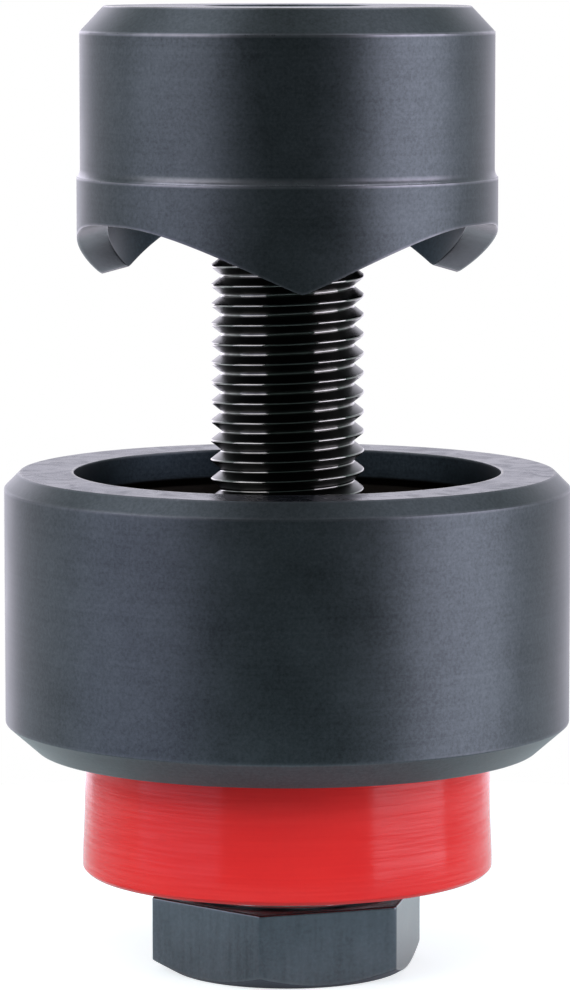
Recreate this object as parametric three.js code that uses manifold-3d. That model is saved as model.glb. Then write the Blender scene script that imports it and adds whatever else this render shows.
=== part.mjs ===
// Screw punch for round holes in sheet metal, in millimetres, standing on its screw head, +Z up.
// The origin is the middle of the head's flat foot. A spanner turns the draw screw, the screw
// climbs through the nut thread of the punch and so pulls the punch down into the die. A ball
// thrust bearing in the red housing carries the pull while the screw turns.
import {
  BufferAttribute,
  BufferGeometry,
  ExtrudeGeometry,
  Group,
  LatheGeometry,
  MathUtils,
  Mesh,
  MeshStandardMaterial,
  Path,
  Shape,
  SphereGeometry,
  Vector2,
} from 'three';
import { mergeVertices } from 'three/addons/utils/BufferGeometryUtils.js';
import Module from 'manifold-3d';

const wasm = await Module();
wasm.setup();

const FULL_TURN = 2 * Math.PI;
const fromDegrees = MathUtils.degToRad;

// Gaps between neighbours: a close fit, the running gap of turning parts, and how far cuts overrun.
const FIT_GAP = 0.3;
const RUNNING_GAP = 0.6;
const OVERRUN = 2;
const ROUND_STEPS = 48;
const BEARING_STEPS = 36;

// Draw screw: hexagon head, thrust collar, plain shank and metric thread.
const SPANNER_SIZE = 32;
const HEAD_HEIGHT = 10;
const FOOT_DIAMETER = 30.6;
const FOOT_CHAMFER_ANGLE = fromDegrees(30);
const HEAD_CORNER_ANGLE = fromDegrees(-101);
const COLLAR_DIAMETER = 28;
const THREAD_DIAMETER = 19.8;
const THREAD_PITCH = 2.5;
const THREAD_START_ANGLE = fromDegrees(13);
const THREAD_RISE_OVER_FLOOR = 11;
const TIP_CHAMFER = 1.8;
const TIP_RECESS = 5.4;
const STEPS_PER_TURN = 20;
const SPARE_TURNS = 2;
const HEAD_SIDES = 6;

// Shares of the pitch in a 60 degree metric thread: flat crest, flat root and depth.
const CREST_SHARE = 1 / 8;
const ROOT_SHARE = 1 / 4;
const DEPTH_SHARE = 0.5413;

// Bearing housing: a cup that hangs over the bearing, a little wider round its skirt.
const HOUSING_CLEAR_HEIGHT = 2.9;
const HOUSING_HEIGHT = 16;
const HOUSING_DIAMETER = 53.2;
const HOUSING_WAIST_INSET = 0.3;
const HOUSING_PLATE = 3;
const HOUSING_EDGE = 0.5;
const SKIRT_HEIGHT = 2.2;
const SKIRT_TAPER = 3;

// Ball thrust bearing: two grooved races, a drilled cage and a ring of balls.
const BEARING_DIAMETER = 35;
const RACE_THICKNESS = 3.2;
const BALL_COUNT = 12;
const BALL_TO_RACE_SHARE = 0.68;
const RACE_OPENING_SHARE = 0.72;
const CAGE_RIM = 0.6;
const GROOVE_STEPS = 4;
const POCKET_STEPS = 12;
const BALL_STEPS = 12;
const BALL_RINGS = 8;

// Retaining ring: a sprung ring with two plier lugs, open at the back.
const RING_THICKNESS = 1.2;
const RING_GROOVE_DEPTH = 1.2;
const RING_BAND = 2.3;
const RING_OPENING_ANGLE = fromDegrees(50);
const RING_LUG_ANGLE = fromDegrees(16);
const RING_LUG_REACH = 1.4;
const RING_HOLE_DIAMETER = 1.6;
const RING_ARC_STEPS = 10;

// Die: a deep cup that stands on the housing. Its bore takes the punch, and its outside is 73 across.
const DIE_WALL = 8.95;
const DIE_HEIGHT = 35.8;
const DIE_FLOOR = 12;
const DIE_TOP_CHAMFER = 2;
const DIE_FOOT_CHAMFER = 4;
const DIE_FOOT_CHAMFER_HEIGHT = 3.5;
const DIE_CUTTING_GAP = 0.55;
const DIE_CUTTING_LAND = 3.7;
const DIE_RELIEF = 1;
const DIE_CAVITY_CHAMFER = 3;

// Punch: a cup with three cutting teeth round its mouth and the nut thread in its crown.
const PUNCH_DIAMETER = 54;
const PUNCH_HEIGHT = 35.2;
const PUNCH_OPENING = 24.5;
const PUNCH_WALL = 4;
const PUNCH_WEB = 19.4;
const PUNCH_LAND = 13.4;
const PUNCH_RELIEF = 0.45;
const PUNCH_RELIEF_HEIGHT = 0.8;
const PUNCH_CHAMFER = 3.1;
const PUNCH_CHAMFER_HEIGHT = 3.3;
const PUNCH_MOUTH_DIAMETER = 21.6;
const PUNCH_CAVITY_CHAMFER = 4;
const TOOTH_COUNT = 3;
const TOOTH_STEPS = ROUND_STEPS / TOOTH_COUNT;
const TOOTH_ANGLE = fromDegrees(-86);
const ARCH_RADIUS = 33;
const ARCH_FLAT_WIDTH = 4;
const TOOTH_SHEAR_ANGLE = fromDegrees(15);

// The stack, from the foot of the head up: each height follows from the piece below it.
const headTop = HEAD_HEIGHT;
const housingBottom = headTop + HOUSING_CLEAR_HEIGHT;
const housingTop = housingBottom + HOUSING_HEIGHT;
const dieTop = housingTop + DIE_HEIGHT;
const dieFloorTop = housingTop + DIE_FLOOR;
const toothTip = dieTop + PUNCH_OPENING;
const punchTop = toothTip + PUNCH_HEIGHT;
const punchCeiling = punchTop - PUNCH_WEB;
const screwTip = punchTop - TIP_RECESS;
const threadStart = dieFloorTop + THREAD_RISE_OVER_FLOOR;

// Thread sizes, of the screw and of the wider nut thread that clears it.
const crestRadius = THREAD_DIAMETER / 2;
const rootRadius = crestRadius - THREAD_PITCH * DEPTH_SHARE;
const crestWidth = THREAD_PITCH * CREST_SHARE;
const rootWidth = THREAD_PITCH * ROOT_SHARE;

// Bearing sizes, worked out inwards from the housing plate that the upper race seats on.
const shankRadius = crestRadius;
const raceOuterRadius = BEARING_DIAMETER / 2;
const upperRaceBore = shankRadius + RUNNING_GAP;
const lowerRaceBore = shankRadius + FIT_GAP;
const ballPitchRadius = (raceOuterRadius + lowerRaceBore) / 2;
const ballRadius = ((raceOuterRadius - lowerRaceBore) / 2) * BALL_TO_RACE_SHARE;
const raceOpening = 2 * ballRadius * RACE_OPENING_SHARE;
const upperRaceTop = housingTop - HOUSING_PLATE;
const upperRaceFace = upperRaceTop - RACE_THICKNESS;
const lowerRaceFace = upperRaceFace - raceOpening;
const lowerRaceBottom = lowerRaceFace - RACE_THICKNESS;
const ballHeight = (upperRaceFace + lowerRaceFace) / 2;
const pocketRadius = ballRadius + FIT_GAP;

// Retaining ring, with its top just under the lower race and its foot on the groove's lower side.
const housingBore = raceOuterRadius + FIT_GAP;
const ringTop = lowerRaceBottom - FIT_GAP;
const ringBottom = ringTop - RING_THICKNESS;
const grooveRadius = housingBore + RING_GROOVE_DEPTH;
const ringRadius = grooveRadius - FIT_GAP;

// Turns a shape's geometry into a solid for cutting and joining.
function solidOf(geometry) {
  const bare = new BufferGeometry();
  bare.setAttribute('position', geometry.getAttribute('position'));
  bare.setIndex(geometry.getIndex());
  const merged = mergeVertices(bare);
  const corners = merged.getIndex().array;
  const triangles = [];
  for (let i = 0; i < corners.length; i += 3) {
    const [a, b, c] = corners.slice(i, i + 3);
    if (a !== b && b !== c && c !== a) {
      triangles.push(a, b, c);
    }
  }
  const vertProperties = Float32Array.from(merged.getAttribute('position').array);
  const triVerts = Uint32Array.from(triangles);
  return new wasm.Manifold(new wasm.Mesh({ numProp: 3, vertProperties, triVerts }));
}

// A profile of [radius, height] corners turned round the Z axis. It runs up the outside.
function turned(profile, steps = ROUND_STEPS, startAngle = 0) {
  const points = profile.map(([radius, height]) => new Vector2(radius, height));
  const geometry = new LatheGeometry(points, steps, startAngle);
  geometry.rotateX(Math.PI / 2);
  return solidOf(geometry);
}

// The same for a ring, whose profile closes on itself clear of the axis.
function turnedRing(profile, steps = ROUND_STEPS) {
  return turned([...profile, profile[0]], steps);
}

function extruded(shape, bottom, top) {
  const depth = top - bottom;
  const curveSegments = RING_ARC_STEPS;
  const geometry = new ExtrudeGeometry(shape, { depth, bevelEnabled: false, curveSegments });
  geometry.translate(0, 0, bottom);
  return solidOf(geometry);
}

// A right-hand thread as one band that winds up a rod. Each step of the turn adds four corners,
// two on the crest and two on the root, and the band's upper edge meets the next turn's lower one.
function threadedRod(crest, root, crestFlat, rootFlat, bottom, top) {
  const section = [
    [crest, -crestFlat / 2],
    [crest, crestFlat / 2],
    [root, (THREAD_PITCH - rootFlat) / 2],
    [root, (THREAD_PITCH + rootFlat) / 2],
  ];
  const corners = section.length;
  const firstTurn = Math.floor(bottom / THREAD_PITCH) - SPARE_TURNS;
  const turns = Math.ceil(top / THREAD_PITCH) + SPARE_TURNS - firstTurn;
  const lastStep = turns * STEPS_PER_TURN;
  const positions = [];
  const triangles = [];
  for (let step = 0; step <= lastStep + STEPS_PER_TURN; step += 1) {
    const angle = THREAD_START_ANGLE + (FULL_TURN * step) / STEPS_PER_TURN;
    const climb = THREAD_PITCH * (firstTurn + step / STEPS_PER_TURN);
    for (const [radius, rise] of section) {
      positions.push(radius * Math.cos(angle), radius * Math.sin(angle), climb + rise);
    }
  }
  const corner = (step, place) => {
    const upperEdge = place === corners;
    return upperEdge ? corners * (step + STEPS_PER_TURN) : corners * step + place;
  };
  for (let step = 0; step < lastStep; step += 1) {
    for (let place = 0; place < corners; place += 1) {
      const low = corner(step, place);
      const high = corner(step, place + 1);
      const nextLow = corner(step + 1, place);
      const nextHigh = corner(step + 1, place + 1);
      triangles.push(low, nextLow, nextHigh, low, nextHigh, high);
    }
  }
  // Each end closes with a fan from the axis, round one turn of the edge and down its step.
  const floorCentre = positions.length / 3;
  positions.push(0, 0, THREAD_PITCH * (firstTurn + CREST_SHARE));
  const roofCentre = floorCentre + 1;
  positions.push(0, 0, THREAD_PITCH * (firstTurn + turns + 1 - CREST_SHARE));
  for (let step = 0; step < STEPS_PER_TURN; step += 1) {
    triangles.push(floorCentre, corner(step + 1, 0), corner(step, 0));
    const upper = lastStep + step;
    triangles.push(roofCentre, corner(upper, 0), corner(upper + 1, 0));
  }
  for (let place = 0; place < corners; place += 1) {
    triangles.push(floorCentre, corner(0, place), corner(0, place + 1));
    triangles.push(roofCentre, corner(lastStep, place + 1), corner(lastStep, place));
  }
  const geometry = new BufferGeometry();
  geometry.setAttribute('position', new BufferAttribute(Float32Array.from(positions), 3));
  geometry.setIndex(triangles);
  return solidOf(geometry);
}

const part = new Group();

// Adds a solid to the part as a named mesh with its own material.
function add(name, solid, finish) {
  const { vertProperties, triVerts } = solid.getMesh();
  const geometry = new BufferGeometry();
  geometry.setAttribute('position', new BufferAttribute(Float32Array.from(vertProperties), 3));
  geometry.setIndex(new BufferAttribute(Uint32Array.from(triVerts), 1));
  geometry.computeVertexNormals();
  const mesh = new Mesh(geometry, new MeshStandardMaterial(finish));
  mesh.name = name;
  part.add(mesh);
  return mesh;
}

const BLACKED_STEEL = { color: 0x3b4147, roughness: 0.42, metalness: 0.85 };
const BLACKED_SCREW = { color: 0x1b1c1f, roughness: 0.25, metalness: 0.9 };
const RED_PAINT = { color: 0xd8302c, roughness: 0.35, metalness: 0.1 };
const GROUND_STEEL = { color: 0xb9bcc2, roughness: 0.25, metalness: 1 };
const BALL_STEEL = { color: 0xd5d8dc, roughness: 0.1, metalness: 1 };
const CAGE_BRASS = { color: 0xb8964e, roughness: 0.4, metalness: 1 };
const SPRING_STEEL = { color: 0x2c2e31, roughness: 0.45, metalness: 0.9 };

// The draw screw is one forging: head, collar and shank are joined, and the thread is cut last.
function drawScrew() {
  const cornerRadius = SPANNER_SIZE / 2 / Math.cos(Math.PI / HEAD_SIDES);
  const hexagon = new Shape();
  for (let corner = 0; corner < HEAD_SIDES; corner += 1) {
    const angle = HEAD_CORNER_ANGLE + (FULL_TURN * corner) / HEAD_SIDES;
    const x = cornerRadius * Math.cos(angle);
    const y = cornerRadius * Math.sin(angle);
    if (corner === 0) {
      hexagon.moveTo(x, y);
    } else {
      hexagon.lineTo(x, y);
    }
  }
  hexagon.closePath();
  const footRadius = FOOT_DIAMETER / 2;
  const reach = cornerRadius + OVERRUN;
  const chamferTop = (reach - footRadius) * Math.tan(FOOT_CHAMFER_ANGLE);
  const headBounds = turned([
    [0, 0],
    [footRadius, 0],
    [reach, chamferTop],
    [reach, headTop],
    [0, headTop],
  ]);
  const head = extruded(hexagon, -OVERRUN, headTop + OVERRUN).intersect(headBounds);
  const depth = crestRadius - rootRadius;
  const shank = turned([
    [0, headTop / 2],
    [COLLAR_DIAMETER / 2, headTop / 2],
    [COLLAR_DIAMETER / 2, lowerRaceBottom],
    [shankRadius, lowerRaceBottom],
    [shankRadius, threadStart],
    [rootRadius, threadStart + depth],
    [0, threadStart + depth],
  ]);
  const clearOfCrest = crestRadius + depth;
  const threadBounds = turned([
    [0, threadStart],
    [rootRadius, threadStart],
    [clearOfCrest, threadStart + clearOfCrest - rootRadius],
    [clearOfCrest, screwTip - TIP_CHAMFER - depth],
    [crestRadius - TIP_CHAMFER, screwTip],
    [0, screwTip],
  ]);
  const rod = threadedRod(crestRadius, rootRadius, crestWidth, rootWidth, threadStart, screwTip);
  return head.add(shank).add(rod.intersect(threadBounds));
}

// The housing is a plate that the die stands on, with a wall round the bearing under it.
function bearingHousing() {
  const skirt = HOUSING_DIAMETER / 2;
  const waist = skirt - HOUSING_WAIST_INSET;
  const skirtTop = housingBottom + SKIRT_HEIGHT;
  return turnedRing([
    [housingBore, housingBottom],
    [skirt - HOUSING_EDGE, housingBottom],
    [skirt, housingBottom + HOUSING_EDGE],
    [skirt, skirtTop],
    [waist, skirtTop + SKIRT_TAPER],
    [waist, housingTop - HOUSING_EDGE],
    [waist - HOUSING_EDGE, housingTop],
    [upperRaceBore, housingTop],
    [upperRaceBore, upperRaceTop],
    [housingBore, upperRaceTop],
    [housingBore, ringTop + FIT_GAP],
    [grooveRadius, ringTop + FIT_GAP],
    [grooveRadius, ringBottom],
    [housingBore, ringBottom],
  ]);
}

// Corners of a race's ball groove, an arc round the ball that keeps the fit gap to it.
function grooveCorners(face, side) {
  const offset = Math.abs(face - ballHeight);
  const spread = Math.acos(offset / pocketRadius);
  const corners = [];
  for (let step = 0; step <= GROOVE_STEPS; step += 1) {
    const angle = spread * (1 - (2 * step) / GROOVE_STEPS);
    const radius = ballPitchRadius + pocketRadius * Math.sin(angle);
    corners.push([radius, ballHeight + side * pocketRadius * Math.cos(angle)]);
  }
  return corners;
}

function upperRace() {
  return turnedRing(
    [
      [upperRaceBore, upperRaceFace],
      ...grooveCorners(upperRaceFace, 1).reverse(),
      [raceOuterRadius, upperRaceFace],
      [raceOuterRadius, upperRaceTop],
      [upperRaceBore, upperRaceTop],
    ],
    BEARING_STEPS,
  );
}

// The lower race is a little smaller outside, so that it turns clear of the housing.
function lowerRace() {
  const outer = raceOuterRadius - FIT_GAP;
  return turnedRing(
    [
      [lowerRaceBore, lowerRaceBottom],
      [outer, lowerRaceBottom],
      [outer, lowerRaceFace],
      ...grooveCorners(lowerRaceFace, -1),
      [lowerRaceBore, lowerRaceFace],
    ],
    BEARING_STEPS,
  );
}

const ballAngle = (index) => (FULL_TURN * index) / BALL_COUNT;

// The cage is a flat ring between the races with one drilled pocket for each ball.
function ballCage() {
  const inner = ballPitchRadius - pocketRadius - CAGE_RIM;
  const outer = ballPitchRadius + pocketRadius + CAGE_RIM;
  const bottom = lowerRaceFace + FIT_GAP;
  const top = upperRaceFace - FIT_GAP;
  let cage = turnedRing([
    [inner, bottom],
    [outer, bottom],
    [outer, top],
    [inner, top],
  ]);
  const drillRadius = pocketRadius / Math.cos(Math.PI / POCKET_STEPS);
  const drill = turned(
    [
      [0, bottom - OVERRUN],
      [drillRadius, bottom - OVERRUN],
      [drillRadius, top + OVERRUN],
      [0, top + OVERRUN],
    ],
    POCKET_STEPS,
  );
  for (let index = 0; index < BALL_COUNT; index += 1) {
    const angle = ballAngle(index);
    const x = ballPitchRadius * Math.cos(angle);
    const y = ballPitchRadius * Math.sin(angle);
    cage = cage.subtract(drill.translate([x, y, 0]));
  }
  return cage;
}

// The retaining ring is a stamped open ring whose two ends carry lugs with a hole for pliers.
function retainingRing() {
  const bandInner = ringRadius - RING_BAND;
  const lugInner = bandInner - RING_LUG_REACH;
  const back = FULL_TURN / 4;
  const start = back + RING_OPENING_ANGLE / 2;
  const end = back + FULL_TURN - RING_OPENING_ANGLE / 2;
  const at = (radius, angle) => [radius * Math.cos(angle), radius * Math.sin(angle)];
  const outline = new Shape();
  outline.moveTo(...at(ringRadius, start));
  outline.absarc(0, 0, ringRadius, start, end, false);
  outline.lineTo(...at(lugInner, end));
  outline.absarc(0, 0, lugInner, end, end - RING_LUG_ANGLE, true);
  outline.absarc(0, 0, bandInner, end - RING_LUG_ANGLE, start + RING_LUG_ANGLE, true);
  outline.absarc(0, 0, lugInner, start + RING_LUG_ANGLE, start, true);
  outline.closePath();
  const holeRadius = RING_HOLE_DIAMETER / 2;
  for (const angle of [start + RING_LUG_ANGLE / 2, end - RING_LUG_ANGLE / 2]) {
    const hole = new Path();
    const [x, y] = at((lugInner + ringRadius) / 2, angle);
    hole.absarc(x, y, holeRadius, 0, FULL_TURN, true);
    outline.holes.push(hole);
  }
  return extruded(outline, ringBottom, ringTop);
}

// The die has a sharp cutting edge round its bore, and is a little wider below it.
function die() {
  const bore = PUNCH_DIAMETER / 2 + DIE_CUTTING_GAP;
  const outer = bore + DIE_WALL;
  const cavity = bore + DIE_RELIEF;
  const screwHole = shankRadius + RUNNING_GAP;
  const landBottom = dieTop - DIE_CUTTING_LAND;
  return turnedRing([
    [screwHole, housingTop],
    [outer - DIE_FOOT_CHAMFER, housingTop],
    [outer, housingTop + DIE_FOOT_CHAMFER_HEIGHT],
    [outer, dieTop - DIE_TOP_CHAMFER],
    [outer - DIE_TOP_CHAMFER, dieTop],
    [bore, dieTop],
    [bore, landBottom],
    [cavity, landBottom - DIE_RELIEF],
    [cavity, dieFloorTop + DIE_CAVITY_CHAMFER],
    [cavity - DIE_CAVITY_CHAMFER, dieFloorTop],
    [screwHole, dieFloorTop],
  ]);
}

// How far the cut edge has dropped below the top of its arch, at an angle from the arch's middle.
function archDrop(angle) {
  const across = Math.abs((PUNCH_DIAMETER / 2) * Math.sin(angle)) - ARCH_FLAT_WIDTH / 2;
  if (across <= 0) {
    return 0;
  }
  return ARCH_RADIUS - Math.sqrt(ARCH_RADIUS ** 2 - across ** 2);
}

// The waste below the teeth: a ring whose roof follows the arches and slopes up inwards, so that
// each tooth is sharp outside and enters the sheet at its three tips first.
function toothWaste() {
  const edge = PUNCH_DIAMETER / 2;
  const halfArch = FULL_TURN / TOOTH_COUNT / 2;
  const inner = edge - PUNCH_WALL - OVERRUN;
  const outer = edge + OVERRUN;
  const bottom = toothTip - OVERRUN;
  const archTop = toothTip + archDrop(halfArch);
  const positions = [];
  const triangles = [];
  const stepCount = TOOTH_COUNT * TOOTH_STEPS;
  for (let step = 0; step < stepCount; step += 1) {
    const angle = TOOTH_ANGLE + (FULL_TURN * step) / stepCount;
    const fromArch = ((step % TOOTH_STEPS) / TOOTH_STEPS) * 2 * halfArch - halfArch;
    const roof = archTop - archDrop(fromArch);
    const slope = Math.tan(TOOTH_SHEAR_ANGLE);
    const corners = [
      [outer, bottom],
      [outer, roof + (edge - outer) * slope],
      [inner, roof + (edge - inner) * slope],
      [inner, bottom],
    ];
    for (const [radius, height] of corners) {
      positions.push(radius * Math.cos(angle), radius * Math.sin(angle), height);
    }
    const here = corners.length * step;
    const next = corners.length * ((step + 1) % stepCount);
    for (let side = 0; side < corners.length; side += 1) {
      const after = (side + 1) % corners.length;
      triangles.push(here + side, next + side, next + after);
      triangles.push(here + side, next + after, here + after);
    }
  }
  const geometry = new BufferGeometry();
  geometry.setAttribute('position', new BufferAttribute(Float32Array.from(positions), 3));
  geometry.setIndex(triangles);
  return solidOf(geometry);
}

// The punch is turned as a cup, then the teeth are cut and the nut thread goes through its crown.
function punch() {
  const land = PUNCH_DIAMETER / 2;
  const body = land - PUNCH_RELIEF;
  const cavity = land - PUNCH_WALL;
  const mouth = PUNCH_MOUTH_DIAMETER / 2;
  const landTop = toothTip + PUNCH_LAND;
  const blank = turned(
    [
      [0, punchCeiling],
      [cavity - PUNCH_CAVITY_CHAMFER, punchCeiling],
      [cavity, punchCeiling - PUNCH_CAVITY_CHAMFER],
      [cavity, toothTip],
      [land, toothTip],
      [land, landTop],
      [body, landTop + PUNCH_RELIEF_HEIGHT],
      [body, punchTop - PUNCH_CHAMFER_HEIGHT],
      [body - PUNCH_CHAMFER, punchTop],
      [0, punchTop],
    ],
    ROUND_STEPS,
    TOOTH_ANGLE + FULL_TURN / 4,
  );
  const nutCrest = crestRadius + FIT_GAP;
  const nutRoot = rootRadius + FIT_GAP;
  const nutCrestWidth = crestWidth + FIT_GAP;
  const nutRootWidth = rootWidth - FIT_GAP;
  const cutter = threadedRod(nutCrest, nutRoot, nutCrestWidth, nutRootWidth, punchCeiling, punchTop);
  const cutterBounds = turned([
    [0, punchCeiling - OVERRUN],
    [nutCrest + OVERRUN, punchCeiling - OVERRUN],
    [nutCrest + OVERRUN, punchTop + OVERRUN],
    [0, punchTop + OVERRUN],
  ]);
  const countersink = (face, side) => {
    const cone = [
      [0, face - side * mouth],
      [mouth + OVERRUN, face + side * OVERRUN],
      [0, face + side * OVERRUN],
    ];
    return turned(side > 0 ? cone : cone.reverse());
  };
  return blank
    .subtract(toothWaste())
    .subtract(cutter.intersect(cutterBounds))
    .subtract(countersink(punchTop, 1))
    .subtract(countersink(punchCeiling, -1));
}

add('draw_screw', drawScrew(), BLACKED_SCREW);
add('bearing_housing', bearingHousing(), RED_PAINT);
add('upper_race', upperRace(), GROUND_STEEL);
add('lower_race', lowerRace(), GROUND_STEEL);
add('ball_cage', ballCage(), CAGE_BRASS);
for (let index = 0; index < BALL_COUNT; index += 1) {
  const name = `ball_${String(index + 1).padStart(2, '0')}`;
  const ball = add(name, solidOf(new SphereGeometry(ballRadius, BALL_STEPS, BALL_RINGS)), BALL_STEEL);
  const angle = ballAngle(index);
  ball.position.set(ballPitchRadius * Math.cos(angle), ballPitchRadius * Math.sin(angle), ballHeight);
}
add('retaining_ring', retainingRing(), SPRING_STEEL);
add('die', die(), BLACKED_STEEL);
add('punch', punch(), BLACKED_STEEL);

export default part;
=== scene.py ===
import math

import bmesh
import bpy
import numpy as np
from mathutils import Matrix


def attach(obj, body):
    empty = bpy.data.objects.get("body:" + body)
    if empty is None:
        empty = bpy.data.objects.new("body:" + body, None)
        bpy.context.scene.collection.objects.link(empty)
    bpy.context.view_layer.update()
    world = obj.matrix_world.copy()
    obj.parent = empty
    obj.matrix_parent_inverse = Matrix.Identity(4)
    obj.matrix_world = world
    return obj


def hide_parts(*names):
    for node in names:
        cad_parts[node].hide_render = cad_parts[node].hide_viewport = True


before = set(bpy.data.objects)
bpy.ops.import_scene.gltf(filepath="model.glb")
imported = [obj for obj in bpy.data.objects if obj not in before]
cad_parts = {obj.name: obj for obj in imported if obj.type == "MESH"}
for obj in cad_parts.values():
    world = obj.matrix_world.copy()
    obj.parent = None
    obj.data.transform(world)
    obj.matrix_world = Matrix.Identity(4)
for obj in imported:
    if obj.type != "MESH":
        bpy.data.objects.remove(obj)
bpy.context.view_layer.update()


# Camera: eye height just above the punch and 612 mm in front of it, with a long lens that looks
# down six and a half degrees.
camera_data = bpy.data.cameras.new("camera")
camera_data.sensor_fit = "VERTICAL"
camera_data.sensor_height = 36
camera_data.lens = 173.6
camera = bpy.data.objects.new("camera", camera_data)
camera.location = (-0.0003, -0.6121, 0.1319)
camera.rotation_euler = (math.radians(90 - 6.557), 0, 0)
bpy.context.scene.collection.objects.link(camera)
bpy.context.scene.camera = camera
bpy.context.scene.view_settings.view_transform = "Standard"


# Studio: a small pale table on a white ground, in a room that is dark overhead and behind the
# camera. Upright soft panels stand at the sides and behind, tilted ones hang above the two sides,
# a small one hangs above the back, and one over the camera lights only what is matt.


class Wire:
    """A socket of a node tree. Sums, differences, products and quotients of it add Math nodes."""

    def __init__(self, tree, socket=None):
        self.tree = tree
        self.socket = socket

    def node(self, kind, settings=None, sockets=None, output=0):
        """Adds a node: its settings first, then the values or wires of its sockets."""
        made = self.tree.nodes.new(kind)
        for name, value in (settings or {}).items():
            setattr(made, name, value)
        for key, value in (sockets or {}).items():
            if isinstance(value, Wire):
                self.tree.links.new(value.socket, made.inputs[key])
            else:
                made.inputs[key].default_value = value
        return Wire(self.tree, made.outputs[output])

    def math(self, operation, *values):
        """A Math node, with this wire as its first value."""
        return self.node("ShaderNodeMath", {"operation": operation}, dict(enumerate((self, *values))))

    def __add__(self, other):
        return self.math("ADD", other)

    __radd__ = __add__

    def __sub__(self, other):
        return self.math("SUBTRACT", other)

    def __rsub__(self, other):
        return self.node("ShaderNodeMath", {"operation": "SUBTRACT"}, {0: other, 1: self})

    def __mul__(self, other):
        return self.math("MULTIPLY", other)

    __rmul__ = __mul__

    def __truediv__(self, other):
        return self.math("DIVIDE", other)

    def between(self, low, high, low_value=0.0, high_value=1.0):
        """Low value up to low, high value from high on, and 3 t^2 - 2 t^3 of the way in between."""
        limits = {"From Min": low, "From Max": high, "To Min": low_value, "To Max": high_value}
        settings = {"interpolation_type": "SMOOTHSTEP"}
        return self.node("ShaderNodeMapRange", settings, {"Value": self, **limits})

    def colour(self, low, high):
        """The low colour where this is 0, the high one where it is 1, and a blend in between."""
        ends = [end if isinstance(end, Wire) else (*end, 1) for end in (low, high)]
        return self.node("ShaderNodeMix", {"data_type": "RGBA"}, {0: self, 6: ends[0], 7: ends[1]}, 2)

    def parts(self):
        """The x, y and z of a vector."""
        split = self.node("ShaderNodeSeparateXYZ", sockets={0: self}).socket.node
        return [Wire(self.tree, output) for output in split.outputs]

    def feeds(self, node, name):
        """Links this to the named socket of a node."""
        self.tree.links.new(self.socket, node.inputs[name])


def rays(tree):
    """Three wires, each 1 on its rays: from the camera, through glass, and off a glossy face."""
    names = ("Is Camera Ray", "Is Transmission Ray", "Is Glossy Ray")
    return [Wire(tree).node("ShaderNodeLightPath", output=name) for name in names]


world = bpy.data.worlds.new("studio")
world.use_nodes = True
bpy.context.scene.world = world
direction = Wire(world.node_tree).node("ShaderNodeTexCoord", output="Generated")
_, away, over = direction.parts()
facing = away - over.math("MAXIMUM", 0.0) * 0.7
room = facing.between(-0.5, 0.9, 0.085, 1.0)
straight, through, mirrored = rays(world.node_tree)
seen = straight.math("MAXIMUM", through)
ground_seen = seen.math("MAXIMUM", mirrored * facing.between(0.8, 1.0))
room_tint = room.colour((0.68, 1, 0.95), (0.97, 0.95, 1.06))
background = world.node_tree.nodes["Background"]
seen.colour(room_tint, (1, 1, 1)).feeds(background, "Color")
(room + ground_seen * (1 - room)).feeds(background, "Strength")

UPRIGHT = 90
PANEL_VIOLET = (0.98, 0.93, 1.07)
PANEL_BLUE = (0.97, 0.98, 1.08)


def soft_panel(
    name, angle, distance, width, height, middle, strength, tilt=UPRIGHT, colour=PANEL_VIOLET
):
    """A panel of even radiance: power = pi x area x strength. The angle is from the camera."""
    lamp = bpy.data.lights.new(name, "AREA")
    lamp.shape = "RECTANGLE"
    lamp.size = width
    lamp.size_y = height
    lamp.energy = math.pi * width * height * strength
    lamp.color = colour
    panel = bpy.data.objects.new(name, lamp)
    turn = math.radians(angle)
    panel.location = (distance * math.sin(turn), -distance * math.cos(turn), middle)
    panel.rotation_euler = (math.radians(tilt), 0, turn)
    bpy.context.scene.collection.objects.link(panel)
    panel.visible_camera = False
    return panel


soft_panel("panel_left", -64, 1.0, 0.95, 0.8, 0.5, 2.15, colour=(0.97, 0.95, 1.0))
soft_panel("panel_low_left", -64, 1.1, 1.1, 0.4, -0.1, 1.0, colour=(0.9, 0.86, 1.2))
high_left = soft_panel("panel_high_left", -98, 0.65, 0.7, 0.7, 1.1, 1.8, 33, PANEL_BLUE)
high_left.visible_diffuse = False
soft_panel("panel_far_left", -104, 1.0, 0.7, 0.8, 0.15, 0.3)
soft_panel("panel_right", 73, 1.0, 0.92, 0.9, 0.2, 3.1)
soft_panel("panel_high_right", 98, 0.65, 0.7, 0.7, 1.1, 1.25, 33, PANEL_BLUE)
soft_panel("panel_behind_left", -158, 1.0, 0.5, 1.0, 0.15, 1.2)
soft_panel("panel_behind_right", 158, 1.0, 0.5, 1.0, 0.15, 0.5)
soft_panel("panel_ceiling", 180, 0.3, 0.5, 0.35, 1.1, 1.6, 15, (0.92, 1.0, 1.0))
panel_above = soft_panel("panel_above", -14, 0.9, 0.8, 0.8, 0.9, 3.5, 47, (0.97, 1.0, 1.0))
panel_above.visible_glossy = False

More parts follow.
